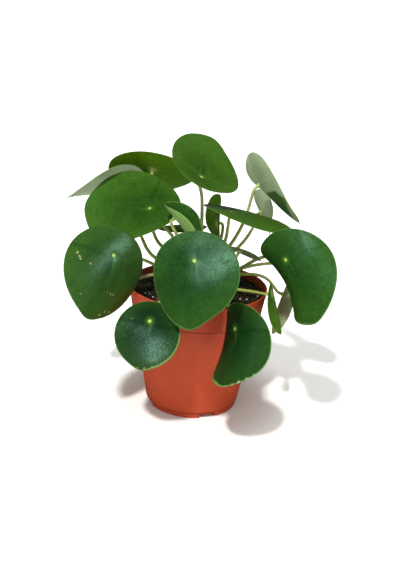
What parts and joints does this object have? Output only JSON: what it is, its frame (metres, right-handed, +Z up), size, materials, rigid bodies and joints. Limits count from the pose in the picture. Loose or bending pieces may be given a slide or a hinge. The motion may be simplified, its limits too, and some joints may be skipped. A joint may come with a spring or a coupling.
{
  "type": "potted chinese money plant",
  "caption": "Potted house plant: round glossy leaves on long curved petioles rise from a short stem in soil, in a terracotta-coloured nursery pot",
  "frame": {"origin": "centre of the pot's foot, on the surface it stands on", "axes": "+Z up along the pot's axis, the front of the plant faces -Y, +X is its right side seen from the front"},
  "size_m": [0.2491, 0.2335, 0.2355],
  "materials": {
    "pot": "terracotta-coloured moulded plastic with a fine step under its collar",
    "soil": "near-black, lumpy potting soil with white perlite grains",
    "main_stem": "brownish green, scarred where older leaves fell",
    "leaf": "deep green waxy upper face with a yellow-green spot over the petiole, pale grey-green underside",
    "leaf_bright": "thin yellow-green leaf that lets light through",
    "petiole": "smooth olive to yellow-green"
  },
  "bodies": {
    "root": {"pot": "pot", "soil": "soil", "main_stem": "main_stem", "leaf_top": "leaf", "petiole_top": "petiole", "leaf_back_left_high": "leaf_bright", "petiole_back_left_high": "petiole", "leaf_back_left": "leaf", "petiole_back_left": "petiole", "leaf_left_upper": "leaf", "petiole_left_upper": "petiole", "leaf_left_lower": "leaf", "petiole_left_lower": "petiole", "leaf_front": "leaf", "petiole_front": "petiole", "leaf_front_left_low": "leaf", "petiole_front_left_low": "petiole", "leaf_front_right_low": "leaf", "petiole_front_right_low": "petiole", "leaf_right": "leaf", "petiole_right": "petiole", "leaf_right_high": "leaf", "petiole_right_high": "petiole", "leaf_right_back": "leaf", "petiole_right_back": "petiole", "leaf_right_flat": "leaf", "petiole_right_flat": "petiole", "leaf_middle_upright": "leaf_bright", "petiole_middle_upright": "petiole", "leaf_middle_folded": "leaf", "petiole_middle_folded": "petiole", "leaf_middle_small": "leaf", "petiole_middle_small": "petiole", "leaf_rim_right": "leaf_bright", "petiole_rim_right": "petiole", "leaf_right_behind": "leaf", "petiole_right_behind": "petiole", "leaf_middle_shaded": "leaf", "petiole_middle_shaded": "petiole", "leaf_back_left_low": "leaf", "petiole_back_left_low": "petiole", "leaf_back_right_low": "leaf", "petiole_back_right_low": "petiole", "leaf_back_hanging_left": "leaf", "petiole_back_hanging_left": "petiole", "leaf_back_hanging_right": "leaf", "petiole_back_hanging_right": "petiole", "leaf_back_middle": "leaf", "petiole_back_middle": "petiole"}
  },
  "joints": []
}
